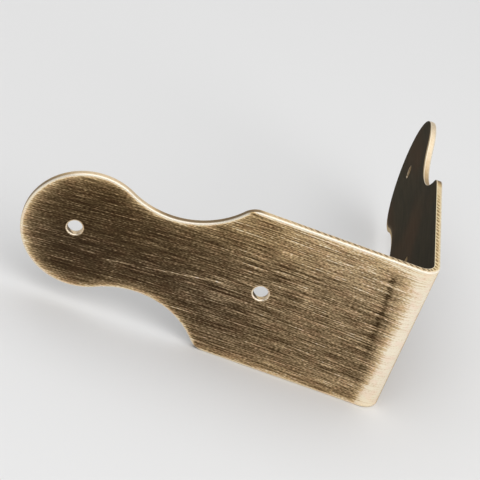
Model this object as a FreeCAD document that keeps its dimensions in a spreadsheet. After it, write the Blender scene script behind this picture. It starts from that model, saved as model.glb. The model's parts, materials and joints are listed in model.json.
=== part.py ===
import FreeCAD, Part
import math
import os
import Sketcher
from FreeCAD import Vector

# Furniture corner guard: one strip of brass sheet, blanked, punched and bent once to a right angle.
# The near leg runs along -X and the far leg along +Y from the bend, whose line stands along Z.
# Both legs have the same outline: a straight strap, two round waists and a round lobe at the tip.
# The row's origin is under the middle of the box that the bent guard fills.

doc = FreeCAD.newDocument("furniture_corner_guard")

# Driving dimensions, in millimetres

sizes = doc.addObject("Spreadsheet::Sheet", "Sizes")
DRIVING = [
    ("strap_width", 25.0, "strip, edge to edge"),
    ("leg_length", 59.0, "outer corner of the bend to a leg's tip"),
    ("sheet_thickness", 1.0, "brass sheet"),
    ("inner_bend_radius", 2.0, "on the side that lies against the furniture"),
    ("lobe_radius", 9.4, "round end of a leg"),
    ("neck_width", 13.6, "narrowest place between the two waists"),
    ("waist_radius", 12.6, "round scoop on each side of the neck"),
    ("shoulder_radius", 3.0, "where the strap's straight edge turns into a waist"),
    ("screw_hole", 2.2, "diameter, for a small round-head screw or pin"),
    ("corner_to_hole", 22.8, "outer corner to the strap's hole"),
    ("tip_to_hole", 7.8, "lobe's tip to the lobe's hole"),
    ("rim_round", 0.3, "burnished edge of the outer face"),
    ("hole_rim_round", 0.25, "burnished mouth of a hole, on the outer face"),
    ("back_edge_break", 0.1, "flat on the edge of the face that lies against the furniture"),
]
for row, (alias, value, meaning) in enumerate(DRIVING, start=1):
    sizes.set(f"A{row}", alias)
    sizes.set(f"B{row}", str(value))
    sizes.set(f"C{row}", meaning)
    sizes.setAlias(f"B{row}", alias)
doc.recompute()


def size(alias):
    """A driving dimension's value, read from the sheet."""
    return float(sizes.get(alias))


def origin_plane(body, role):
    """One of the body's own origin planes, such as XY_Plane."""
    return next(f for f in body.Origin.OriginFeatures if f.Role == role)


def new_sketch(body, name, role):
    """An empty sketch that lies on one of the body's origin planes."""
    sketch = body.newObject("Sketcher::SketchObject", name)
    sketch.AttachmentSupport = [(origin_plane(body, role), "")]
    sketch.MapMode = "FlatFace"
    return sketch


def drive(sketch, constraint, formula):
    """Adds a dimension to the sketch and binds it to the sheet."""
    index = sketch.addConstraint(constraint)
    sketch.setExpression(f"Constraints[{index}]", formula)


def line(x0, y0, x1, y1):
    return Part.LineSegment(Vector(x0, y0, 0), Vector(x1, y1, 0))


def arc(x, y, radius, start, end):
    """A counter-clockwise arc about (x, y), between two directions in radians."""
    return Part.ArcOfCircle(Part.Circle(Vector(x, y, 0), Vector(0, 0, 1), radius), start, end)


# How a sketch numbers a curve's points, its own axes and its origin
START, END, CENTRE = range(1, 4)
LEVEL_AXIS, UPRIGHT_AXIS = range(-1, -3, -1)
ORIGIN, ORIGIN_POINT = LEVEL_AXIS, START

# Directions round a circle, in radians
UP, DOWN, RIGHT = math.pi / 2, 1.5 * math.pi, 2 * math.pi

guard = doc.addObject("PartDesign::Body", "corner_guard")
guard.Label = "corner_guard"


# The strip seen along the bend: two straight legs joined by a round bend, all of one thickness

def draw_bent_section(sketch):
    leg = size("leg_length")
    thick = size("sheet_thickness")
    inner = size("inner_bend_radius")
    outer = inner + thick
    outer_near = sketch.addGeometry(line(-leg, 0, -outer, 0))
    outer_bend = sketch.addGeometry(arc(-outer, outer, outer, DOWN, RIGHT))
    outer_far = sketch.addGeometry(line(0, outer, 0, leg))
    far_end = sketch.addGeometry(line(0, leg, -thick, leg))
    inner_far = sketch.addGeometry(line(-thick, leg, -thick, outer))
    inner_bend = sketch.addGeometry(arc(-outer, outer, inner, DOWN, RIGHT))
    inner_near = sketch.addGeometry(line(-outer, thick, -leg, thick))
    near_end = sketch.addGeometry(line(-leg, thick, -leg, 0))
    bisector = sketch.addGeometry(line(0, 0, -outer, outer), True)

    rule = Sketcher.Constraint
    for first, end, second, start in (
        (outer_far, END, far_end, START),
        (far_end, END, inner_far, START),
        (inner_near, END, near_end, START),
        (near_end, END, outer_near, START),
    ):
        sketch.addConstraint(rule("Coincident", first, end, second, start))
    for first, end, second, start in (
        (outer_near, END, outer_bend, START),
        (outer_bend, END, outer_far, START),
        (inner_far, END, inner_bend, END),
        (inner_bend, START, inner_near, START),
    ):
        sketch.addConstraint(rule("Tangent", first, end, second, start))
    for upright in (outer_far, inner_far, near_end):
        sketch.addConstraint(rule("Vertical", upright))
    for level in (outer_near, inner_near, far_end):
        sketch.addConstraint(rule("Horizontal", level))
    sketch.addConstraint(rule("Coincident", inner_bend, CENTRE, outer_bend, CENTRE))
    sketch.addConstraint(rule("PointOnObject", outer_near, END, LEVEL_AXIS))
    sketch.addConstraint(rule("PointOnObject", outer_far, START, UPRIGHT_AXIS))
    sketch.addConstraint(rule("Coincident", bisector, START, ORIGIN, ORIGIN_POINT))
    sketch.addConstraint(rule("Coincident", bisector, END, outer_bend, CENTRE))
    drive(sketch, rule("Radius", inner_bend, inner), "Sizes.inner_bend_radius")
    drive(sketch, rule("Radius", outer_bend, outer), "Sizes.inner_bend_radius + Sizes.sheet_thickness")
    drive(sketch, rule("DistanceX", outer_near, START, ORIGIN, ORIGIN_POINT, leg), "Sizes.leg_length")
    drive(sketch, rule("DistanceY", ORIGIN, ORIGIN_POINT, outer_far, END, leg), "Sizes.leg_length")


bent_section = new_sketch(guard, "bent_section", "XY_Plane")
draw_bent_section(bent_section)

bent_strip = guard.newObject("PartDesign::Pad", "bent_strip")
bent_strip.Profile = bent_section
bent_strip.setExpression("Length", "Sizes.strap_width")
doc.recompute()
untrimmed_volume = bent_strip.Shape.Volume


# The waste round a leg's end. Its inner side is the leg's outline, five arcs that run into each other:
# shoulder, waist, lobe, waist, shoulder. Its outer side is a box one sheet's thickness outside the strip.

def draw_leg_waste(sketch):
    width = size("strap_width")
    middle = width / 2
    leg = size("leg_length")
    lobe = size("lobe_radius")
    waist = size("waist_radius")
    shoulder = size("shoulder_radius")
    margin = size("sheet_thickness")
    waist_offset = size("neck_width") / 2 + waist
    lobe_x = lobe - leg
    waist_x = lobe_x + math.sqrt((lobe + waist) ** 2 - waist_offset**2)
    shoulder_rise = waist_offset - (middle - shoulder)
    shoulder_x = waist_x + math.sqrt((waist + shoulder) ** 2 - shoulder_rise**2)
    # Directions from the upper waist's centre to the lobe's and the shoulder's centres
    to_lobe = math.atan2(-waist_offset, lobe_x - waist_x) % (2 * math.pi)
    to_shoulder = math.atan2(-shoulder_rise, shoulder_x - waist_x) % (2 * math.pi)
    high, low, tip = width + margin, -margin, -leg - margin

    upper_shoulder = sketch.addGeometry(
        arc(shoulder_x, width - shoulder, shoulder, UP, to_shoulder - math.pi)
    )
    upper_waist = sketch.addGeometry(arc(waist_x, middle + waist_offset, waist, to_lobe, to_shoulder))
    end_lobe = sketch.addGeometry(arc(lobe_x, middle, lobe, to_lobe - math.pi, 3 * math.pi - to_lobe))
    lower_waist = sketch.addGeometry(
        arc(waist_x, middle - waist_offset, waist, 2 * math.pi - to_shoulder, 2 * math.pi - to_lobe)
    )
    lower_shoulder = sketch.addGeometry(arc(shoulder_x, shoulder, shoulder, 3 * math.pi - to_shoulder, DOWN))
    lower_step = sketch.addGeometry(line(shoulder_x, 0, shoulder_x, low))
    bottom = sketch.addGeometry(line(shoulder_x, low, tip, low))
    beyond_tip = sketch.addGeometry(line(tip, low, tip, high))
    top = sketch.addGeometry(line(tip, high, shoulder_x, high))
    upper_step = sketch.addGeometry(line(shoulder_x, high, shoulder_x, width))
    centreline = sketch.addGeometry(line(tip, middle, 0, middle), True)

    rule = Sketcher.Constraint
    for first, end, second, start in (
        (upper_shoulder, END, upper_waist, END),
        (upper_waist, START, end_lobe, START),
        (end_lobe, END, lower_waist, END),
        (lower_waist, START, lower_shoulder, START),
    ):
        sketch.addConstraint(rule("Tangent", first, end, second, start))
    for first, end, second, start in (
        (lower_shoulder, END, lower_step, START),
        (lower_step, END, bottom, START),
        (bottom, END, beyond_tip, START),
        (beyond_tip, END, top, START),
        (top, END, upper_step, START),
        (upper_step, END, upper_shoulder, START),
    ):
        sketch.addConstraint(rule("Coincident", first, end, second, start))
    for upright in (lower_step, beyond_tip, upper_step):
        sketch.addConstraint(rule("Vertical", upright))
    for level in (bottom, top, centreline):
        sketch.addConstraint(rule("Horizontal", level))
    # A shoulder leaves the strip's straight edge without a corner, because its centre is square to that edge
    sketch.addConstraint(rule("Vertical", upper_shoulder, CENTRE, upper_shoulder, START))
    sketch.addConstraint(rule("Vertical", lower_shoulder, CENTRE, lower_shoulder, END))
    sketch.addConstraint(rule("Equal", upper_shoulder, lower_shoulder))
    sketch.addConstraint(rule("Equal", upper_waist, lower_waist))
    sketch.addConstraint(rule("PointOnObject", centreline, END, UPRIGHT_AXIS))
    sketch.addConstraint(rule("PointOnObject", centreline, START, beyond_tip))
    sketch.addConstraint(rule("Symmetric", upper_waist, CENTRE, lower_waist, CENTRE, centreline))
    drive(sketch, rule("DistanceY", ORIGIN, ORIGIN_POINT, centreline, END, middle), "Sizes.strap_width / 2")
    drive(sketch, rule("DistanceY", ORIGIN, ORIGIN_POINT, upper_shoulder, START, width), "Sizes.strap_width")
    sketch.addConstraint(rule("PointOnObject", lower_shoulder, END, LEVEL_AXIS))
    drive(sketch, rule("Radius", upper_shoulder, shoulder), "Sizes.shoulder_radius")
    drive(sketch, rule("Radius", upper_waist, waist), "Sizes.waist_radius")
    drive(sketch, rule("Radius", end_lobe, lobe), "Sizes.lobe_radius")
    drive(
        sketch,
        rule("DistanceY", end_lobe, CENTRE, upper_waist, CENTRE, waist_offset),
        "Sizes.neck_width / 2 + Sizes.waist_radius",
    )
    drive(
        sketch,
        rule("DistanceX", end_lobe, CENTRE, ORIGIN, ORIGIN_POINT, -lobe_x),
        "Sizes.leg_length - Sizes.lobe_radius",
    )
    drive(
        sketch,
        rule("DistanceX", top, START, ORIGIN, ORIGIN_POINT, -tip),
        "Sizes.leg_length + Sizes.sheet_thickness",
    )
    drive(sketch, rule("DistanceY", upper_shoulder, START, top, END, margin), "Sizes.sheet_thickness")
    drive(sketch, rule("DistanceY", bottom, START, lower_shoulder, END, margin), "Sizes.sheet_thickness")


leg_waste = new_sketch(guard, "leg_waste", "XZ_Plane")
draw_leg_waste(leg_waste)

leg_outline = guard.newObject("PartDesign::Pocket", "leg_outline")
leg_outline.Profile = leg_waste
leg_outline.Type = "ThroughAll"
doc.recompute()
outlined_volume = leg_outline.Shape.Volume


# Two screw holes in the leg, on its centreline: one in the strap and one in the lobe

def draw_hole_places(sketch):
    middle = size("strap_width") / 2
    radius = size("screw_hole") / 2
    strap_x = -size("corner_to_hole")
    lobe_x = size("tip_to_hole") - size("leg_length")
    places = (
        (strap_x, "Sizes.corner_to_hole"),
        (lobe_x, "Sizes.leg_length - Sizes.tip_to_hole"),
    )
    rule = Sketcher.Constraint
    for x, from_corner in places:
        hole = sketch.addGeometry(Part.Circle(Vector(x, middle, 0), Vector(0, 0, 1), radius))
        drive(sketch, rule("DistanceX", hole, CENTRE, ORIGIN, ORIGIN_POINT, -x), from_corner)
        drive(sketch, rule("DistanceY", ORIGIN, ORIGIN_POINT, hole, CENTRE, middle), "Sizes.strap_width / 2")
        drive(sketch, rule("Diameter", hole, 2 * radius), "Sizes.screw_hole")


hole_places = new_sketch(guard, "hole_places", "XZ_Plane")
draw_hole_places(hole_places)

screw_holes = guard.newObject("PartDesign::Hole", "screw_holes")
screw_holes.Profile = hole_places
doc.recompute()
screw_holes.DepthType = "ThroughAll"
screw_holes.ThreadType = 0
screw_holes.HoleCutType = 0
screw_holes.DrillPoint = 0
screw_holes.setExpression("Diameter", "Sizes.screw_hole")
doc.recompute()
one_leg_volume = screw_holes.Shape.Volume


# The far leg has the same outline and holes, mirrored across the bend

far_leg = guard.newObject("PartDesign::Mirrored", "far_leg")
far_leg.Originals = [leg_outline, screw_holes]
far_leg.MirrorPlane = (bent_section, ["Axis0"])
guard.Tip = far_leg
doc.recompute()
both_legs_volume = far_leg.Shape.Volume


# Finished edges: round on the outer face and round its holes, a small flat along the back

def depth_under_outer_skin(point):
    """How far a point lies inside the guard's outer skin, measured square to it."""
    bend = size("inner_bend_radius") + size("sheet_thickness")
    if point.x < -bend:
        return point.y
    if point.y > bend:
        return -point.x
    return bend - math.hypot(point.x + bend, point.y - bend)


def edges_at_depth(shape, depth, wanted):
    """Names of the edges that lie wholly at one depth under the outer skin and pass the test."""
    names = []
    for number, edge in enumerate(shape.Edges, start=1):
        samples = edge.discretize(9)
        if all(abs(depth_under_outer_skin(p) - depth) < 1e-4 for p in samples) and wanted(edge):
            names.append(f"Edge{number}")
    return names


def is_hole_mouth(edge):
    """Whether the edge is a screw hole's round mouth."""
    return isinstance(edge.Curve, Part.Circle) and abs(edge.Curve.Radius - size("screw_hole") / 2) < 1e-4


def is_outline(edge):
    """Whether the edge is part of the guard's outline, and not a hole or the line where a bend begins."""
    upright = isinstance(edge.Curve, Part.Line) and abs(edge.Curve.Direction.z) > 0.999
    return not upright and not is_hole_mouth(edge)


def finish_edges(kind, name, base, edge_names, measure, formula):
    """Adds a Fillet or a Chamfer on a feature's named edges, its Radius or Size bound to the sheet."""
    finished = guard.newObject(f"PartDesign::{kind}", name)
    finished.Base = (base, edge_names)
    finished.setExpression(measure, formula)
    guard.Tip = finished
    doc.recompute()
    return finished


outer_rim = edges_at_depth(far_leg.Shape, 0.0, is_outline)
burnished_rim = finish_edges("Fillet", "burnished_rim", far_leg, outer_rim, "Radius", "Sizes.rim_round")

hole_mouths = edges_at_depth(burnished_rim.Shape, 0.0, is_hole_mouth)
burnished_holes = finish_edges(
    "Fillet", "burnished_holes", burnished_rim, hole_mouths, "Radius", "Sizes.hole_rim_round"
)

back_edges = edges_at_depth(burnished_holes.Shape, size("sheet_thickness"), is_outline)
back_rim = finish_edges("Chamfer", "back_rim", burnished_holes, back_edges, "Size", "Sizes.back_edge_break")

# The row's origin is under the middle of the box round both legs

guard.setExpression("Placement.Base.x", "Sizes.leg_length / 2")
guard.setExpression("Placement.Base.y", "-Sizes.leg_length / 2")
doc.recompute()


# What has to hold before anything is written

for item in doc.Objects:
    if "Invalid" in item.State or "Error" in item.State:
        raise RuntimeError(f"{item.Name} failed: {item.State}")
for sketch in (bent_section, leg_waste, hole_places):
    if not sketch.FullyConstrained:
        raise RuntimeError(f"{sketch.Name} isn't fully constrained")
if not untrimmed_volume > outlined_volume > one_leg_volume > both_legs_volume > back_rim.Shape.Volume:
    raise RuntimeError("a trim, a hole or a finished edge took nothing away")
leg_share = untrimmed_volume - one_leg_volume
if abs(both_legs_volume - (untrimmed_volume - 2 * leg_share)) > 1e-6 * untrimmed_volume:
    raise RuntimeError("the far leg isn't the near leg's mirror image")
if guard.Shape.isNull() or not guard.Shape.isValid() or len(guard.Shape.Solids) != 1:
    raise RuntimeError("the guard isn't one valid solid")

os.makedirs("parts", exist_ok=True)
guard.Shape.exportStep(f"parts/{guard.Label}.step")
print("corner_guard volume", round(guard.Shape.Volume, 2), "mm3, box", guard.Shape.BoundBox)
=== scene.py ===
import json
import math

import bmesh
import bpy
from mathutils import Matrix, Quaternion, Vector, noise
from mathutils.geometry import delaunay_2d_cdt


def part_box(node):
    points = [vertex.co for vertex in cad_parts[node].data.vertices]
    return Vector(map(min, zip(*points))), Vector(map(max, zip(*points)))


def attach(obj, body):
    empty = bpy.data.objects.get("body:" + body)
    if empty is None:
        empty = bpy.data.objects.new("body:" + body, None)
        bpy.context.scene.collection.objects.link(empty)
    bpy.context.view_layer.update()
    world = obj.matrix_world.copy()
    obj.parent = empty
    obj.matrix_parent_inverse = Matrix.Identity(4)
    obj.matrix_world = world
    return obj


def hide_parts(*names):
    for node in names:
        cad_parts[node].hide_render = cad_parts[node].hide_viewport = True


# A furniture corner guard of antiqued brass sheet: the strap's fine form, its brushed and worn finish,
# and a plain studio round it. Lengths are in millimetres until they reach Blender, which works in metres.

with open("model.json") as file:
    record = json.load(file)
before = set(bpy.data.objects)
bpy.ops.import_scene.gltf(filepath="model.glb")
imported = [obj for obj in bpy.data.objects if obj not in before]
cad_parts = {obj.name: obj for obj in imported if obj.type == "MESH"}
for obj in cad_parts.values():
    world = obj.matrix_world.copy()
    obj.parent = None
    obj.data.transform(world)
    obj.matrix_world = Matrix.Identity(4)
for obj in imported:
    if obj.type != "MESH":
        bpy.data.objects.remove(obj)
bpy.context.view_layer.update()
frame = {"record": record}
MM = 0.001

GUARD = "corner_guard"
MOUNTS = {mount["name"]: mount for mount in frame["record"]["mounts"]}

# Sizes read from the frame

LOW, HIGH = (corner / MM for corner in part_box(GUARD))
LEG = HIGH.x - LOW.x
WIDTH = HIGH.z - LOW.z
MIDDLE = (LOW.z + HIGH.z) / 2
THICKNESS = MOUNTS["near_seat"]["pos_m"][1] / MM - LOW.y
HOLE_RADIUS = MOUNTS["near_screws"]["dims"]["hole_r_mm"]
HOLE_SPACING = MOUNTS["near_screws"]["dims"]["spacing_x_mm"]
HOLES_MIDDLE = HIGH.x - MOUNTS["near_screws"]["pos_m"][0] / MM
HOLE_PLACES = (HOLES_MIDDLE - HOLE_SPACING / 2, HOLES_MIDDLE + HOLE_SPACING / 2)

# Sizes of the outline and the edges, as the guard is cut

BEND_RADIUS = 3.0
LOBE_RADIUS = 9.4
NECK_WIDTH = 13.6
WAIST_RADIUS = 12.6
SHOULDER_RADIUS = 3.0
RIM_ROUND = 0.3
HOLE_RIM_ROUND = 0.25
BACK_ROUND = 0.1

# Half the bend's length along its outer skin. Along the strip, 0 is the middle of the bend.
HALF_BEND = BEND_RADIUS * math.pi / 4

LOBE_AT = LEG - LOBE_RADIUS
WAIST_OFF = NECK_WIDTH / 2 + WAIST_RADIUS
WAIST_AT = LOBE_AT - math.sqrt((LOBE_RADIUS + WAIST_RADIUS) ** 2 - WAIST_OFF**2)
LOBE_START = WAIST_AT + (LOBE_AT - WAIST_AT) * WAIST_RADIUS / (LOBE_RADIUS + WAIST_RADIUS)
SHOULDER_OFF = WIDTH / 2 - SHOULDER_RADIUS
SHOULDER_AT = WAIST_AT - math.sqrt((WAIST_RADIUS + SHOULDER_RADIUS) ** 2 - (WAIST_OFF - SHOULDER_OFF) ** 2)

# Where the four holes lie along the strip: the near leg's, then the far leg's
HOLE_CENTRES = [side * (place - BEND_RADIUS + HALF_BEND) for side in (-1, 1) for place in HOLE_PLACES]

# How finely the sheet is modelled: steps along its edges and over its faces, and steps round its roundings

CUT_STEP = 0.09
CURVE_STEP = 0.2
FACE_STEP = 1.5
RIM_STEPS = 6
BACK_STEPS = 2
HOLE_STEPS = 72

# Flat margins beside the roundings, and how deep the rows of the cut walls lie under the outer face

FACE_MARGIN = 0.06
HOLE_MARGIN = 0.05
WALL_DEPTHS = (0.34, 0.39, 0.46, 0.54, 0.62, 0.7, 0.78, 0.83)
HOLE_WALL_DEPTHS = (0.4, 0.6, 0.8)

# Marks that the cutting press leaves across the sheet's edge, and the unevenness of the burnished edge

SHEAR_PITCH = 0.95
SHEAR_DEPTH = 0.025
SHEAR_SLANT = 0.12
SHEAR_DRIFT = 0.07
SHEAR_MARGIN = 0.03
UNEVENNESS = 0.012

# Edges that turn by more than this stay crisp, in degrees
CRISP_ANGLE = 50


# The strip's own outline

def arc_points(centre_s, centre_w, radius, start, end, outward, step):
    """Points round an arc, each with its place (s, w) and the outline's outward direction there."""
    count = max(2, round(abs(end - start) * radius / step))
    points = []
    for index in range(count):
        angle = start + (end - start) * index / count
        across = Vector((math.cos(angle), math.sin(angle)))
        points.append((Vector((centre_s, centre_w)) + across * radius, across * outward))
    return points


def upper_leg_edge():
    """One leg's upper edge, from the bend to the lobe's tip. s is counted from the outer corner."""
    to_lobe = math.atan2(-WAIST_OFF, LOBE_AT - WAIST_AT)
    to_shoulder = math.atan2(SHOULDER_OFF - WAIST_OFF, SHOULDER_AT - WAIST_AT)
    straight = SHOULDER_AT - BEND_RADIUS
    count = round(straight / CUT_STEP)
    edge = []
    for index in range(count):
        edge.append((Vector((BEND_RADIUS + straight * index / count, WIDTH / 2)), Vector((0.0, 1.0))))
    edge += arc_points(
        SHOULDER_AT, SHOULDER_OFF, SHOULDER_RADIUS, math.pi / 2, to_shoulder + math.pi, 1, CUT_STEP
    )
    edge += arc_points(WAIST_AT, WAIST_OFF, WAIST_RADIUS, to_shoulder, to_lobe, -1, CURVE_STEP)
    edge += arc_points(LOBE_AT, 0.0, LOBE_RADIUS, to_lobe + math.pi, 0.0, 1, CURVE_STEP)
    edge.append((Vector((LEG, 0.0)), Vector((1.0, 0.0))))
    return edge


def leg_edge(along_sign, across_sign):
    """One leg's edge on one side, from the bend to the tip, as places (along, across) and directions."""
    shift = HALF_BEND - BEND_RADIUS
    return [
        (
            Vector((along_sign * (place.x + shift), across_sign * place.y)),
            Vector((along_sign * way.x, across_sign * way.y)),
        )
        for place, way in upper_leg_edge()
    ]


def bend_edge(heading, across_sign):
    """The straight edge over the bend on one side, without its ends."""
    count = round(2 * HALF_BEND / CUT_STEP)
    edge = []
    for index in range(1, count):
        along = -HALF_BEND + 2 * HALF_BEND * index / count
        place = Vector((heading * along, across_sign * WIDTH / 2))
        edge.append((place, Vector((0.0, across_sign))))
    return edge


def strip_outline():
    """The whole strip's edge, once round: out along its lower side and back along its upper side."""
    loop = leg_edge(-1, -1)[::-1]
    loop += bend_edge(1, -1)
    loop += leg_edge(1, -1)
    # Each tip belongs to two legs' edges and is kept once
    loop += leg_edge(1, 1)[::-1][1:]
    loop += bend_edge(-1, 1)
    loop += leg_edge(-1, 1)[:-1]
    return loop


def wrap(along, across, depth):
    """Where a point of the strip lies once it is bent. depth is measured inwards from the outer face."""
    if along < -HALF_BEND:
        x = HIGH.x - BEND_RADIUS + HALF_BEND + along
        y = LOW.y + depth
    elif along > HALF_BEND:
        x = HIGH.x - depth
        y = LOW.y + BEND_RADIUS - HALF_BEND + along
    else:
        turn = (along + HALF_BEND) / (2 * HALF_BEND) * math.pi / 2
        x = HIGH.x - BEND_RADIUS + (BEND_RADIUS - depth) * math.sin(turn)
        y = LOW.y + BEND_RADIUS - (BEND_RADIUS - depth) * math.cos(turn)
    return Vector((x, y, MIDDLE + across)) * MM


def depth_inside(along, across):
    """How far a place on the strip lies inside its outline."""
    s = abs(along) + BEND_RADIUS - HALF_BEND
    w = abs(across)
    strap = min(WIDTH / 2 - w, LOBE_START - s, math.hypot(s - WAIST_AT, w - WAIST_OFF) - WAIST_RADIUS)
    return max(strap, LOBE_RADIUS - math.hypot(s - LOBE_AT, w))


# The strap's mesh

def rounded_rows(radius, steps):
    """Rows of a rounded edge, from the face to the cut wall, each with its inset and its depth."""
    rows = []
    for index in range(steps + 1):
        angle = math.pi / 2 * index / steps
        rows.append((radius * (1 - math.sin(angle)), radius * (1 - math.cos(angle))))
    return rows


def edge_rows():
    """Rows round the sheet's edge, from the outer face over the rim and down the wall to the back."""
    back = [(inset, THICKNESS - depth) for inset, depth in reversed(rounded_rows(BACK_ROUND, BACK_STEPS))]
    rows = [(RIM_ROUND + FACE_MARGIN, 0.0)]
    rows += rounded_rows(RIM_ROUND, RIM_STEPS)
    rows += [(0.0, depth) for depth in WALL_DEPTHS]
    rows += back
    rows.append((BACK_ROUND + FACE_MARGIN, THICKNESS))
    return rows


def hole_rows():
    """Rows down a hole, from its burnished mouth to the back, each with its radius and its depth."""
    rows = [(HOLE_RADIUS + HOLE_RIM_ROUND + HOLE_MARGIN, 0.0)]
    rows += [(HOLE_RADIUS + inset, depth) for inset, depth in rounded_rows(HOLE_RIM_ROUND, RIM_STEPS)]
    rows += [(HOLE_RADIUS, depth) for depth in (*HOLE_WALL_DEPTHS, THICKNESS)]
    rows.append((HOLE_RADIUS + HOLE_MARGIN, THICKNESS))
    return rows


def shear_wave(along, depth, sine, cosine):
    """The press's marks at a place, from 0 on a crest to 1 in a hollow, for plain numbers or for wires."""
    drift = SHEAR_DRIFT * (sine(0.9 * along) + sine(2.3 * along + 1.0))
    return 0.5 + 0.5 * cosine(2 * math.pi * (along + SHEAR_SLANT * depth + drift) / SHEAR_PITCH)


def shear_mark(along, depth):
    """How far the press's marks cut into the edge, at a place along the strip and a depth."""
    if not RIM_ROUND + SHEAR_MARGIN < depth < THICKNESS - BACK_ROUND - SHEAR_MARGIN:
        return 0.0
    strength = 0.75 + 0.6 * noise.noise(Vector((along * 0.9, 8.7, depth * 2.0)))
    return SHEAR_DEPTH * shear_wave(along, depth, math.sin, math.cos) * max(0.2, min(1.0, strength))


def edge_vertex(place, way, inset, depth):
    """A vertex of the sheet's edge, with the burnished edge's unevenness and the press's marks."""
    inward = inset
    if RIM_ROUND * 0.5 < depth < THICKNESS:
        inward += UNEVENNESS * (1 + noise.noise(Vector((place.x * 0.5, place.y * 0.5, depth * 3.0))))
    on_straight_side = abs(way.x) < 1e-6
    if on_straight_side:
        inward += shear_mark(place.x, depth)
    moved = place - way * inward
    return wrap(moved.x, moved.y, depth)


def circle(centre, radius):
    """Places round a hole, as (along, across)."""
    places = []
    for index in range(HOLE_STEPS):
        angle = 2 * math.pi * index / HOLE_STEPS
        places.append((centre + radius * math.cos(angle), radius * math.sin(angle)))
    return places


def ring_faces(start, rings, around):
    """Faces between closed rings of vertices that follow one another from a first vertex on."""
    faces = []
    for ring in range(rings - 1):
        first = start + ring * around
        second = first + around
        for index in range(around):
            after = (index + 1) % around
            faces.append((first + index, first + after, second + after, second + index))
    return faces


def places_inside(outline):
    """Places inside the sheet's two faces: columns over the bend and an even grid on the legs."""
    count = math.ceil(WIDTH / FACE_STEP)
    lanes = [WIDTH * (index / count - 0.5) for index in range(1, count)]
    bend_columns = sorted({round(place.x, 6) for place, way in outline if abs(place.x) <= HALF_BEND + 1e-6})
    places = [(along, across) for along in bend_columns for across in lanes]
    for side in (-1, 1):
        for step in range(1, int((LEG - BEND_RADIUS) / FACE_STEP) + 1):
            along = side * (HALF_BEND + step * FACE_STEP)
            for across in lanes:
                clear = min(math.hypot(along - centre, across) for centre in HOLE_CENTRES)
                if depth_inside(along, across) > FACE_STEP and clear > HOLE_RADIUS + FACE_STEP:
                    places.append((along, across))
    return places


def fill_face(vertices, faces, loops, inside, depth, mouth):
    """Fills one face of the sheet between its outer loop and the holes' mouths.

    Each loop is a list of places and the number of its first vertex. The places inside get new vertices.
    """
    points = []
    owners = []
    edges = []
    for places, first_vertex in loops:
        start = len(points)
        points += [Vector(place) for place in places]
        owners += range(first_vertex, first_vertex + len(places))
        edges += [(start + index, start + (index + 1) % len(places)) for index in range(len(places))]
    for along, across in inside:
        points.append(Vector((along, across)))
        owners.append(len(vertices))
        vertices.append(wrap(along, across, depth))
    out_points, _, out_faces, sources, _, _ = delaunay_2d_cdt(points, edges, [], 1, 1e-7)
    clear = mouth * math.cos(math.pi / HOLE_STEPS)
    for face in out_faces:
        middle = sum((out_points[index] for index in face), Vector((0.0, 0.0))) / len(face)
        if min(math.hypot(middle.x - centre, middle.y) for centre in HOLE_CENTRES) > clear:
            faces.append([owners[sources[index][0]] for index in face])


def guard_mesh():
    """The bent strap as one closed mesh, finely modelled along its edges and round its holes."""
    outline = strip_outline()
    edge = edge_rows()
    hole = hole_rows()
    vertices = []
    for inset, depth in edge:
        vertices += [edge_vertex(place, way, inset, depth) for place, way in outline]
    faces = ring_faces(0, len(edge), len(outline))

    hole_starts = []
    for centre in HOLE_CENTRES:
        start = len(vertices)
        hole_starts.append(start)
        for radius, depth in hole:
            vertices += [wrap(along, across, depth) for along, across in circle(centre, radius)]
        faces += ring_faces(start, len(hole), HOLE_STEPS)

    # The outer face joins the first rows, the back joins the last
    inside = places_inside(outline)
    for edge_row, hole_row in ((0, 0), (len(edge) - 1, len(hole) - 1)):
        inset, depth = edge[edge_row]
        mouth = hole[hole_row][0]
        loops = [([place - way * inset for place, way in outline], edge_row * len(outline))]
        for centre, start in zip(HOLE_CENTRES, hole_starts):
            loops.append((circle(centre, mouth), start + hole_row * HOLE_STEPS))
        fill_face(vertices, faces, loops, inside, depth, mouth)

    mesh = bpy.data.meshes.new("guard_strap")
    mesh.from_pydata(vertices, [], faces)
    mesh.validate()
    return mesh


def shade_strap(mesh):
    """Smooth all over but for the holes' mouths on the back, which stay crisp, as a punch leaves them."""
    shape = bmesh.new()
    shape.from_mesh(mesh)
    bmesh.ops.recalc_face_normals(shape, faces=shape.faces)
    for face in shape.faces:
        face.smooth = True
    for edge in shape.edges:
        edge.smooth = edge.calc_face_angle(0.0) < math.radians(CRISP_ANGLE)
    open_edges = sum(1 for edge in shape.edges if not edge.is_manifold)
    shape.to_mesh(mesh)
    shape.free()
    if open_edges:
        raise RuntimeError(f"the strap's mesh has {open_edges} open edges")


strap_mesh = guard_mesh()
shade_strap(strap_mesh)
strap = bpy.data.objects.new("brass_strap", strap_mesh)
bpy.context.scene.collection.objects.link(strap)
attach(strap, "root")
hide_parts(GUARD)


# Shader arithmetic

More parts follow.
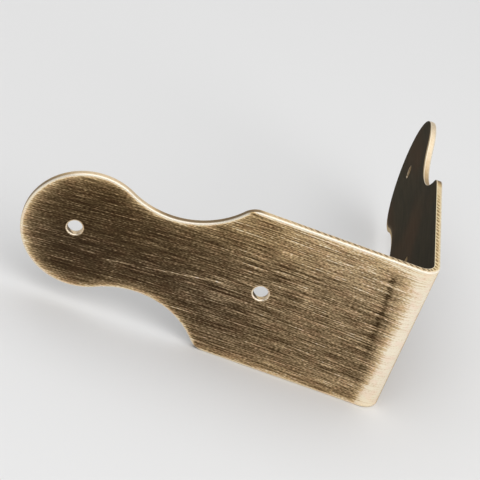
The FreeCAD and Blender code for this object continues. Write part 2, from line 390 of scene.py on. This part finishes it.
class Wire:
    """A number that runs between a material's nodes. Arithmetic on it adds Math nodes."""

    def __init__(self, paint, socket):
        self.paint = paint
        self.socket = socket

    def maths(self, operation, *values):
        return self.paint.add("ShaderNodeMath", {"operation": operation}, dict(enumerate(values)))

    def __add__(self, other):
        return self.maths("ADD", self, other)

    __radd__ = __add__

    def __sub__(self, other):
        return self.maths("SUBTRACT", self, other)

    def __rsub__(self, other):
        return self.maths("SUBTRACT", other, self)

    def __mul__(self, other):
        return self.maths("MULTIPLY", self, other)

    __rmul__ = __mul__

    def __truediv__(self, other):
        return self.maths("DIVIDE", self, other)

    def __rtruediv__(self, other):
        return self.maths("DIVIDE", other, self)

    def __pow__(self, other):
        return self.maths("POWER", self, other)

    def __neg__(self):
        return self * -1.0

    def __abs__(self):
        return self.maths("ABSOLUTE", self)


class Paint:
    """One material and the nodes that make it."""

    def __init__(self, name):
        self.material = bpy.data.materials.new(name)
        self.material.use_nodes = True
        self.tree = self.material.node_tree
        self.tree.nodes.clear()

    def add(self, kind, settings, sockets, output=0):
        """Adds a node. Settings come first, then each socket gets a value or a wire."""
        node = self.tree.nodes.new(kind)
        for name, value in settings.items():
            if name == "stops":
                self.set_stops(node, value)
            else:
                setattr(node, name, value)
        for name, value in sockets.items():
            if isinstance(value, Wire):
                self.tree.links.new(value.socket, node.inputs[name])
            else:
                node.inputs[name].default_value = value
        if node.outputs:
            return Wire(self, node.outputs[output])
        return None

    @staticmethod
    def set_stops(node, stops):
        elements = node.color_ramp.elements
        while len(elements) < len(stops):
            elements.new(1.0)
        for element, (position, colour) in zip(elements, stops):
            element.position = position
            element.color = colour

    def lower(self, first, second):
        return self.add("ShaderNodeMath", {"operation": "MINIMUM"}, {0: first, 1: second})

    def higher(self, first, second):
        return self.add("ShaderNodeMath", {"operation": "MAXIMUM"}, {0: first, 1: second})

    def sine(self, angle):
        return self.add("ShaderNodeMath", {"operation": "SINE"}, {0: angle})

    def cosine(self, angle):
        return self.add("ShaderNodeMath", {"operation": "COSINE"}, {0: angle})

    def fade(self, distance, reach):
        """1 at no distance, falling to about a third at the reach."""
        return self.add("ShaderNodeMath", {"operation": "EXPONENT"}, {0: distance * (-1.0 / reach)})

    def span(self, first, second):
        """Length of a flat vector."""
        return (first * first + second * second) ** 0.5

    def rise(self, value, start, end):
        """0 before start, 1 after end, and smooth between them."""
        settings = {"interpolation_type": "SMOOTHSTEP"}
        return self.add("ShaderNodeMapRange", settings, {0: value, 1: start, 2: end, 3: 0.0, 4: 1.0})

    def drop(self, value, start, end):
        """1 before start, 0 after end, and smooth between them."""
        return 1.0 - self.rise(value, start, end)

    def vector(self, x, y, z):
        return self.add("ShaderNodeCombineXYZ", {}, {0: x, 1: y, 2: z})

    def noise(self, place, detail, roughness=0.5):
        """Noise of scale 1 at a place, 0 on average."""
        sockets = {"Vector": place, "Scale": 1.0, "Detail": detail, "Roughness": roughness}
        return self.add("ShaderNodeTexNoise", {}, sockets) - 0.5

    def ramp(self, value, stops):
        """A colour picked from a row of colours."""
        return self.add("ShaderNodeValToRGB", {"stops": stops}, {0: value})

    def mix(self, factor, first, second):
        """Mixes two colours."""
        settings = {"data_type": "RGBA"}
        return self.add("ShaderNodeMix", settings, {0: factor, 6: first, 7: second}, 2)

    def tint(self, factor, colour, by):
        """Multiplies a colour by another, in part."""
        settings = {"data_type": "RGBA", "blend_type": "MULTIPLY"}
        return self.add("ShaderNodeMix", settings, {0: factor, 6: colour, 7: by}, 2)


def srgb(red, green, blue):
    """A colour as its screen values, turned into the light values that shaders use."""
    light = [
        value / 255 / 12.92 if value <= 10 else ((value / 255 + 0.055) / 1.055) ** 2.4
        for value in (red, green, blue)
    ]
    return (*light, 1.0)


# Antiqued brass

# From the darkest patina to bare polished brass
BRASS_STOPS = (
    (0.0, srgb(58, 43, 27)),
    (0.25, srgb(95, 78, 54)),
    (0.5, srgb(155, 132, 100)),
    (0.75, srgb(221, 193, 149)),
    (1.0, srgb(255, 243, 220)),
)
# Near white on the upper rim: polish, and in part a painted highlight
POLISHED_RIM_HIGHLIGHT = srgb(255, 250, 240)
# Painted shade for the holes' walls
HOLE_WALL_SHADE = srgb(122, 110, 94)
BACK_BROWN = srgb(50, 46, 33)
BACK_RED_BROWN = srgb(67, 51, 35)
BACK_SMOKE = srgb(86, 72, 54)
BACK_MARGIN = srgb(118, 104, 84)
BACK_RUBBED = srgb(206, 182, 140)

# Tints are multiplied into a colour
ROSY = (1.0, 0.94, 0.94, 1.0)
GOLDEN = (1.0, 0.96, 0.86, 1.0)
COOL = (0.98, 1.0, 1.09, 1.0)
GOLDEN_WALL = (1.0, 0.98, 0.86, 1.0)

# Marks on the near leg, as places (s, across): hairline scratches with their strength, and one small knock,
# whose dent is shown by painted shade and a painted highlight
SCRATCHES = (((46.9, -3.5), (27.3, -0.2), 0.38), ((41.9, -0.4), (35.7, 0.6), 0.3))
KNOCK_S, KNOCK_ACROSS = 18.2, 1.3

# The dark line that the bending press leaves beside the bend, and how much it leans across the strap
PRESS_LINE_AT = 5.25
PRESS_LINE_LEAN = 0.08

# The bend is rubbed bare, with a painted highlight over it, up to one distance from the outer corner, and
# still worn, with a weaker painted highlight, up to another. Both lean a little across the strap.
BEND_BARE_AND_HIGHLIGHT_TO, BEND_BARE_AND_HIGHLIGHT_LEAN = 1.1, -0.1
BEND_WORN_AND_HIGHLIGHT_TO, BEND_WORN_AND_HIGHLIGHT_LEAN = 5.0, 0.05

# Where the shank's finish turns into the lobe's, along a leg
LOBE_FINISH_FROM, LOBE_FINISH_TO = 26.0, 44.0

# The brush strokes bow a little, run level at one place along a leg, and sway from side to side
STROKES_LEVEL_AT = 22.0
STROKES_BOW = 0.0015
STROKES_SWAY = 0.15
STROKES_DEPTH = 0.02

FACE_ROUGHNESS = 0.38
WALL_ROUGHNESS = 0.48
BACK_ROUGHER = 0.2
BARE_METAL = 0.85


class StripPlace:
    """Where a shaded point lies on the strip, as wires in millimetres.

    s is the distance from the outer corner, and along is the same with a sign: below 0 on the near leg.
    across is counted from the strip's middle line, and depth inwards from the outer face.
    """

    def __init__(self, paint):
        place = paint.add("ShaderNodeTexCoord", {}, {}, "Object")
        self.x, self.y, self.z = (
            paint.add("ShaderNodeSeparateXYZ", {}, {0: place}, axis) / MM for axis in ("X", "Y", "Z")
        )
        from_far_face = HIGH.x - self.x
        from_near_face = self.y - LOW.y
        self.along = from_near_face - from_far_face
        self.s = abs(self.along)
        self.across = self.z - MIDDLE
        bend_x = paint.higher(BEND_RADIUS - from_far_face, 0.0)
        bend_y = paint.higher(BEND_RADIUS - from_near_face, 0.0)
        self.depth = BEND_RADIUS - paint.span(bend_x, bend_y)

        # Distances from the outline and from the nearest hole
        w = abs(self.across)
        to_waist = paint.span(self.s - WAIST_AT, w - WAIST_OFF) - WAIST_RADIUS
        inside_strap = paint.lower(paint.lower(WIDTH / 2 - w, to_waist), LOBE_START - self.s)
        inside_lobe = LOBE_RADIUS - paint.span(self.s - LOBE_AT, self.across)
        self.from_edge = paint.higher(inside_strap, inside_lobe)
        first_hole, second_hole = (paint.span(self.s - hole, self.across) for hole in HOLE_PLACES)
        self.from_hole = paint.lower(first_hole, second_hole) - HOLE_RADIUS

        # Parts of the guard, from 0 to 1
        self.outer = paint.drop(self.depth, 0.02, 0.3)
        self.back = paint.rise(self.depth, THICKNESS - 0.08, THICKNESS - 0.01)
        self.on_lobe = paint.rise(self.s, LOBE_FINISH_FROM, LOBE_FINISH_TO)
        self.on_far_leg = paint.rise(self.along, -1.0, 1.0)
        # Over the bend the brass is worn bright and also carries a painted highlight
        bare_and_highlight_to = BEND_BARE_AND_HIGHLIGHT_TO + BEND_BARE_AND_HIGHLIGHT_LEAN * self.across
        worn_and_highlight_to = BEND_WORN_AND_HIGHLIGHT_TO + BEND_WORN_AND_HIGHLIGHT_LEAN * self.across
        self.over_bend = paint.drop(self.s, bare_and_highlight_to, worn_and_highlight_to)


class BrushMarks:
    """Thin streaks along the legs, in several sizes, over slow clouds."""

    def __init__(self, paint, at):
        sway = paint.noise(paint.vector(at.along * 0.12, at.across * 0.15, 4.0), 1.0) * STROKES_SWAY
        lane = at.across + STROKES_BOW * (at.s - STROKES_LEVEL_AT) ** 2.0 + sway

        def streak(along_scale, lane_scale, slice_at, detail=0.0, roughness=0.5):
            """One kind of streak, from its own slice of noise. Higher scales make them shorter, thinner."""
            place = paint.vector(at.along * along_scale, lane * lane_scale, slice_at)
            return paint.noise(place, detail, roughness)

        self.hair = streak(0.09, 6.2, at.depth * 0.5)
        self.broad = streak(0.16, 1.3, 7.0, 2.0, 0.55)
        self.clouds = paint.noise(paint.vector(at.along * 0.1, at.across * 0.14, 19.0), 2.0)
        thread = streak(0.26, 7.0, 23.0)
        fleck = streak(2.5, 6.8, 11.0)
        bright_line = paint.drop(abs(streak(0.035, 5.0, 41.0)), 0.0, 0.1)
        dark_line = paint.drop(abs(streak(0.03, 4.4, 57.0)), 0.0, 0.1)
        glints = paint.higher(thread * 0.8 + self.hair * 0.4 + fleck * 0.6 - 0.15, 0.0)
        self.streaks = self.hair * 0.72 + thread * 0.9 + (bright_line - dark_line) * 0.06
        grain = self.streaks * (1.0 - 0.15 * at.on_lobe) + glints * (0.3 + 0.4 * at.on_lobe) + fleck * 0.75
        self.grain = grain * (1.0 - 0.6 * at.over_bend)


def wear_and_painted_light(paint, at, marks, edge_off):
    """How far the patina is rubbed off, from 0, dark, to 1, bare brass, with painted highlights, a painted
    reflection and painted shade added in.
    """
    # Along the leg and along its sides. Lighter from the lobe towards the bend, which is wear and in part a
    # painted reflection; lighter on the upper side and darker on the lower half.
    shank = 0.27 * paint.drop(at.s, 10.0, 44.0)
    upper_side = 0.16 * paint.rise(at.across, 4.0, 10.0)
    lower_side = 0.12 * paint.rise(-at.across, 7.0, 10.5) - 0.05 * paint.rise(-at.across, -2.0, 5.0)
    lower_edge = paint.rise(-at.across, 10.5, 12.0) * (0.16 * paint.rise(at.s, 18.0, 24.0) - 0.1)
    sides = (upper_side + (lower_side + lower_edge)) * paint.drop(at.s, 22.0, 42.0)
    # Lighter at the upper edge next to the bend: wear, and in part a painted highlight
    corner = 0.14 * paint.rise(at.across, 9.0, 12.0) * paint.drop(at.s, 4.0, 10.0)
    neck = 0.035 * paint.rise(at.s, 29.0, 34.0) * paint.drop(at.s, 39.0, 46.0)
    tip = 0.12 * paint.rise(at.s, 51.0, 58.0)

    # Close to the edge, wider on the lobe
    lobe_edge = 0.95 * at.on_lobe * paint.fade(edge_off, 0.7)
    shank_edge = 0.5 * (1.0 - at.on_lobe) * paint.fade(edge_off, 0.45)

    # The press line stops short of the upper edge and fades towards the lower one
    line_at = PRESS_LINE_AT + PRESS_LINE_LEAN * at.across
    line_off = abs(at.s - line_at + marks.broad * 0.6 + marks.hair * 1.1)
    line_strength = 0.28 * paint.rise(at.across, -10.0, 8.0) * paint.drop(at.across, 9.6, 10.6)
    press_line = line_strength * paint.drop(line_off, 0.1, 0.65)

    # Wear with painted light in it: darker on the lobe, in part painted shade, and bright over the bend, in
    # part a painted highlight
    rubbed = 0.16 - 0.05 * at.on_lobe + shank + sides + corner + tip + neck + lobe_edge + shank_edge
    rubbed = rubbed + 0.66 * at.over_bend - press_line
    # Painted shade: the bend's far half, where it turns away, is kept darker than its near half
    return paint.lower(rubbed, 1.0 - 0.55 * paint.rise(at.along, 0.6, 2.5) * at.over_bend)


def scratched(paint, at, marks, level):
    """Adds two hairline scratches and a small knock to the near leg, the knock as painted shade in its dent
    with a painted highlight on its lip.
    """
    on_near_leg = paint.drop(at.along, -1.0, 0.0)
    for (start_s, start_across), (end_s, end_across), strength in SCRATCHES:
        slope = (end_across - start_across) / (end_s - start_s)
        off = abs(at.across - start_across - slope * (at.s - start_s) + marks.broad * 0.3)
        ends = paint.rise(at.s, end_s, end_s + 2.0) * paint.drop(at.s, start_s - 2.0, start_s)
        level = level + strength * on_near_leg * ends * paint.drop(off, 0.02, 0.12)
    # Painted shade in the knock's dent and a painted highlight on its lip
    knock = paint.span((at.s - KNOCK_S) * 0.45, at.across - KNOCK_ACROSS)
    lip_highlight = paint.span((at.s - KNOCK_S + 2.0) * 1.3, at.across - KNOCK_ACROSS + 0.2)
    level = level + on_near_leg * 0.12 * paint.drop(lip_highlight, 0.2, 0.9)
    return level - on_near_leg * 0.13 * paint.drop(knock, 0.4, 1.0)


def burnished_and_highlit_rims(paint, at):
    """The rounded rims and the holes' mouths: burnished, with a painted highlight on top, duller on the
    lower rim of the waist and the lobe.
    """
    rim = paint.drop(at.from_edge, 0.14, 0.52)
    hole_rim = paint.drop(at.from_hole, 0.12, 0.32)
    low_rim = paint.rise(-at.across, 0.0, 5.0) * paint.rise(at.s, 27.0, 33.0)
    return paint.higher(rim * (1.0 - 0.5 * low_rim), hole_rim)


def face_colour(paint, at, level, edge_off, polish_and_highlight):
    """The outer face: rosy in patches, golden on its margins and upper side, cooler on its lower side, with
    a painted highlight, partly polish, along its upper rim.
    """
    colour = paint.ramp(level, BRASS_STOPS)
    rosy = paint.noise(paint.vector(at.along * 0.4, at.across * 0.75, 71.0), 2.0)
    colour = paint.tint(paint.rise(rosy, -0.05, 0.15), colour, ROSY)
    margin = paint.fade(edge_off, 1.6)
    golden = paint.higher(margin, paint.rise(at.across, 2.0, 9.0) * paint.rise(at.s, 10.0, 26.0))
    colour = paint.tint(golden, colour, GOLDEN)
    cool = paint.rise(-at.across, -2.0, 3.0) * paint.rise(at.s, 16.0, 34.0) * (1.0 - margin)
    colour = paint.tint(cool, colour, COOL)
    # A painted highlight, partly polish, along the upper rim
    return paint.mix(0.7 * polish_and_highlight, colour, POLISHED_RIM_HIGHLIGHT)


def press_mark_shade(paint, at):
    """Painted shade in the grooves of the same marks that the mesh has on its cut edge, fading out towards
    the shoulder.
    """
    wave = shear_wave(at.along, at.depth, paint.sine, paint.cosine)
    in_wall = paint.rise(at.depth, 0.36, 0.5) * paint.drop(at.depth, 0.82, 0.92)
    return wave * paint.drop(at.s, SHOULDER_AT - 10.0, SHOULDER_AT) * in_wall


def wall_colour(paint, at):
    """The cut edge: bare brass, speckled near the bend, with press marks darkened by painted shade and a
    bright burr.
    The holes' walls carry painted shade, and the far leg's wall a painted reflection that makes it lighter.
    """
    # Darker along the waists, and on the near leg round the tip
    past_shoulder = paint.rise(at.s, SHOULDER_AT - 2.0, SHOULDER_AT + 0.5)
    near_waist = 0.36 * past_shoulder * paint.drop(at.s, 38.5, 42.5)
    near_dip = near_waist + 0.35 * paint.rise(at.s, 53.0, 58.0)
    far_dip = 0.4 * past_shoulder * paint.drop(at.s, 28.0, 46.0)
    # The far leg's wall is painted lighter than the near leg's: a painted reflection of the light from
    # behind
    level = 0.82 + 0.06 * at.on_far_leg - far_dip * at.on_far_leg - near_dip * (1.0 - at.on_far_leg)
    speckle = paint.noise(paint.vector(at.x * 2.4, at.y * 2.4, at.z * 2.4), 2.0, 0.6)
    # Painted shade darkens the press marks' grooves
    level = level + speckle * (0.2 + 0.5 * paint.drop(at.s, 14.0, 30.0)) - 0.42 * press_mark_shade(paint, at)
    burr = paint.rise(at.depth, 0.84, 0.92)
    # Painted shade on the walls inside the holes
    in_hole_shade = paint.drop(at.from_hole, 0.02, 0.1)
    # The far leg's burr is painted brighter: a painted reflection
    level = level + (0.3 + 0.2 * at.on_far_leg) * burr - 0.3 * in_hole_shade
    colour = paint.ramp(level, BRASS_STOPS)
    colour = paint.tint(at.on_far_leg * (1.0 - past_shoulder), colour, GOLDEN_WALL)
    return paint.mix(0.7 * in_hole_shade, colour, HOLE_WALL_SHADE)


def back_colour(paint, at, marks, rubbed_back):
    """The back: smooth dark brown, redder in places, paler on its lower margin, rubbed round the lobe."""
    warmth = paint.noise(paint.vector(at.along * 0.06, at.across * 0.1, 31.0), 1.0) - at.across * 0.015
    colour = paint.mix(paint.rise(warmth, -0.1, 0.2), BACK_BROWN, BACK_RED_BROWN)
    smoke = paint.rise(marks.broad * 1.6 + marks.clouds + marks.streaks * 0.3, -0.5, 0.6)
    colour = paint.mix(0.3 * smoke, colour, BACK_SMOKE)
    margin = paint.drop(at.from_edge, 0.1, 0.9) * paint.rise(-at.across, 0.0, 5.0)
    colour = paint.mix(0.6 * margin, colour, BACK_MARGIN)
    return paint.mix(0.85 * rubbed_back, colour, BACK_RUBBED)


def antique_brass():
    """Dark brown patina brushed along the legs, rubbed bright on the rims, the hole mouths and the bend,
    with painted highlights there, and painted shade in the holes and the press marks.
    """
    paint = Paint("antique_brass")
    at = StripPlace(paint)
    marks = BrushMarks(paint, at)
    # Mask of the rims and hole mouths: burnished brass that also carries a painted highlight
    burnished = burnished_and_highlit_rims(paint, at)
    # Upper rim: polished, and painted near white as a highlight
    polish_and_highlight = paint.drop(at.from_edge, 0.12, 0.34) * paint.rise(at.across, 0.0, 5.0)
    rubbed_back = paint.drop(at.from_edge + marks.broad * 0.2, 0.12, 0.36) * paint.rise(at.s, 24.0, 30.0)

    # Distance from the edge as the rubbing follows it: wavering, and wider below the tip
    below_tip = paint.rise(-at.across, -3.0, 6.0) * paint.rise(at.s, 42.0, 50.0)
    edge_off = paint.higher(at.from_edge + marks.broad * 0.5, 0.0) * (1.0 - 0.2 * below_tip)

    level = wear_and_painted_light(paint, at, marks, edge_off)
    level = level + marks.grain * (0.94 - 0.16 * at.on_lobe)
    level = level + marks.broad * 0.04 + marks.clouds * (0.08 - 0.03 * at.on_lobe)
    level = scratched(paint, at, marks, level)
    # Rims and hole mouths are painted near white: burnish, and in part a painted highlight
    level = level * (1.0 - 0.7 * burnished) + 0.9 * burnished

    colour = paint.mix(at.outer, wall_colour(paint, at), face_colour(paint, at, level, edge_off, polish_and_highlight))
    colour = paint.mix(at.back, colour, back_colour(paint, at, marks, rubbed_back))

    # Sleeker where the brass is bare, duller on the back
    face_roughness = FACE_ROUGHNESS - 0.1 * level - 0.02 * burnished + marks.grain * 0.1
    roughness = WALL_ROUGHNESS + (face_roughness - WALL_ROUGHNESS) * at.outer + at.back * BACK_ROUGHER

    # The back's patina hides the metal, and the palest brass is partly matt
    metal = BARE_METAL - BARE_METAL * at.back * (1.0 - 0.6 * rubbed_back)
    metal = metal - 0.3 * at.over_bend * (1.0 - at.back) - 0.5 * polish_and_highlight * at.outer

    # The brush marks stand out least on the bend and not at all on the rims
    height = marks.streaks * at.outer * (1.0 - burnished) * (1.0 - 0.7 * at.over_bend)
    bump = {"Strength": 0.6, "Distance": STROKES_DEPTH * MM, "Height": height}

    sockets = {
        "Base Color": colour,
        "Metallic": metal,
        "Roughness": roughness,
        "Specular IOR Level": 0.02,
        "Normal": paint.add("ShaderNodeBump", {}, bump),
    }
    surface = paint.add("ShaderNodeBsdfPrincipled", {}, sockets)
    paint.add("ShaderNodeOutputMaterial", {}, {"Surface": surface})
    return paint.material


strap_mesh.materials.append(antique_brass())


# Studio

FLOOR_REACH = 3000.0
FLOOR_TONE = 0.8
SKY_STRENGTH = 0.36
LAMPS_AIM = (0.0, 0.0, 10.0)

CAMERA_PLACE = (-54.37, -416.41, 241.57)
CAMERA_AIM = (4.37, -4.65, 5.48)
CAMERA_ROLL = 23.68
CAMERA_LENS = 236.7
CAMERA_SENSOR = 36.0
CAMERA_NEAREST = 10.0
CAMERA_FARTHEST = 50000.0


def studio_floor():
    """A wide matt floor, paler than the guard."""
    reach = FLOOR_REACH * MM
    mesh = bpy.data.meshes.new("studio_floor")
    corners = [(-reach, -reach, 0), (reach, -reach, 0), (reach, reach, 0), (-reach, reach, 0)]
    mesh.from_pydata(corners, [], [(0, 1, 2, 3)])
    floor = bpy.data.objects.new("studio_floor", mesh)
    bpy.context.scene.collection.objects.link(floor)
    paint = Paint("studio_floor")
    sockets = {
        "Base Color": (FLOOR_TONE, FLOOR_TONE, FLOOR_TONE, 1.0),
        "Roughness": 0.9,
        "Specular IOR Level": 0.1,
    }
    surface = paint.add("ShaderNodeBsdfPrincipled", {}, sockets)
    paint.add("ShaderNodeOutputMaterial", {}, {"Surface": surface})
    mesh.materials.append(paint.material)


def studio_sky():
    """Even soft light from all round."""
    world = bpy.data.worlds.new("studio")
    bpy.context.scene.world = world
    world.use_nodes = True
    tree = world.node_tree
    tree.nodes.clear()
    background = tree.nodes.new("ShaderNodeBackground")
    background.inputs["Color"].default_value = (1.0, 1.0, 1.0, 1.0)
    background.inputs["Strength"].default_value = SKY_STRENGTH
    output = tree.nodes.new("ShaderNodeOutputWorld")
    tree.links.new(background.outputs[0], output.inputs["Surface"])


def soft_lamp(name, place, width, height, power):
    """A rectangular soft lamp that points at the guard. Its power is in watts."""
    data = bpy.data.lights.new(name, "AREA")
    data.shape = "RECTANGLE"
    data.size = width * MM
    data.size_y = height * MM
    data.energy = power
    lamp = bpy.data.objects.new(name, data)
    lamp.location = Vector(place) * MM
    lamp.rotation_mode = "QUATERNION"
    lamp.rotation_quaternion = (Vector(LAMPS_AIM) - Vector(place)).to_track_quat("-Z", "Y")
    bpy.context.scene.collection.objects.link(lamp)


def photograph_camera():
    """The photograph's view: from the front, a little to the left and above, rolled clockwise."""
    data = bpy.data.cameras.new("camera")
    data.lens = CAMERA_LENS
    data.sensor_width = CAMERA_SENSOR
    data.clip_start = CAMERA_NEAREST * MM
    data.clip_end = CAMERA_FARTHEST * MM
    camera = bpy.data.objects.new("camera", data)
    camera.location = Vector(CAMERA_PLACE) * MM
    camera.rotation_mode = "QUATERNION"
    level = (Vector(CAMERA_AIM) - Vector(CAMERA_PLACE)).to_track_quat("-Z", "Y")
    camera.rotation_quaternion = level @ Quaternion((0.0, 0.0, 1.0), math.radians(CAMERA_ROLL))
    bpy.context.scene.collection.objects.link(camera)
    bpy.context.scene.camera = camera


studio_floor()
studio_sky()
soft_lamp("overhead", (0.0, 60.0, 430.0), 700.0, 560.0, 1.1)
soft_lamp("front", (0.0, -330.0, 380.0), 640.0, 300.0, 0.9)
soft_lamp("back", (40.0, 480.0, 380.0), 900.0, 300.0, 0.28)
soft_lamp("right", (400.0, -260.0, 190.0), 300.0, 260.0, 0.45)
photograph_camera()
bpy.context.scene.view_settings.view_transform = "Standard"
